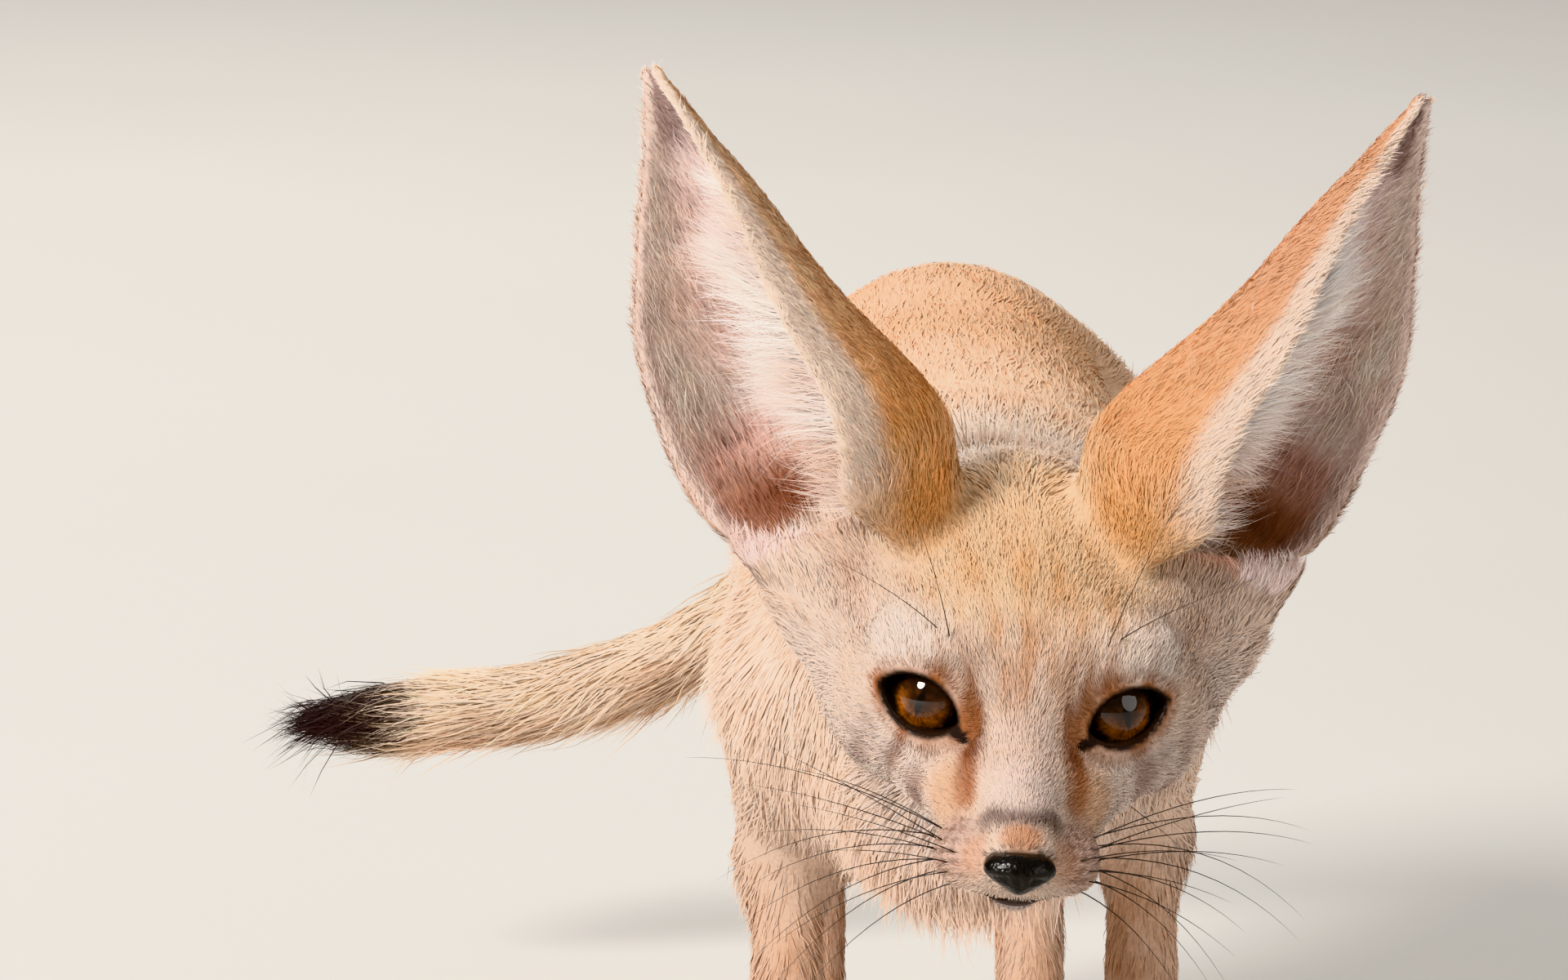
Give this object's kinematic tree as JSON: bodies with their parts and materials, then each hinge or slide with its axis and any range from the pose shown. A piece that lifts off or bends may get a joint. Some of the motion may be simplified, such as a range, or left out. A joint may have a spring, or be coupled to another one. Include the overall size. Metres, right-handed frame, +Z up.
{
  "type": "fennec fox",
  "caption": "Life-size fennec fox standing mid-stride with its head lowered, large cupped ears turned outward and a bushy black-tipped tail swept to one side.",
  "frame": {"origin": "middle of the bounding box in plan, at floor level under the feet", "axes": "+Z up; the fox faces -Y, so +Y runs back along the body to the tail; +X is the fox's left side"},
  "size_m": [0.2212, 0.4074, 0.2624],
  "materials": {
    "coat": "soft sandy fur with an orange-tan saddle",
    "pale_coat": "soft cream fur of the legs, feet and lower jaw",
    "ear_back": "short orange-brown fur behind, pale pink skin and long white hairs inside",
    "dark_tip": "long black-brown hair",
    "nose": "wet black pebbled skin",
    "eye": "clear wet cornea over an amber-brown iris"
  },
  "bodies": {
    "root": {"chest": "coat", "ear_left": "ear_back", "ear_right": "ear_back", "eye_left": "eye", "eye_right": "eye", "front_left_forearm": "pale_coat", "front_left_paw": "pale_coat", "front_left_shoulder": "coat", "front_right_forearm": "pale_coat", "front_right_paw": "pale_coat", "front_right_shoulder": "coat", "head": "coat", "hind_left_paw": "pale_coat", "hind_left_shank": "pale_coat", "hind_left_thigh": "coat", "hind_right_paw": "pale_coat", "hind_right_shank": "pale_coat", "hind_right_thigh": "coat", "jaw": "pale_coat", "loins": "coat", "neck": "coat", "nose": "nose", "rump": "coat", "tail_middle": "coat", "tail_root": "coat", "tail_tip": "dark_tip"}
  },
  "joints": []
}
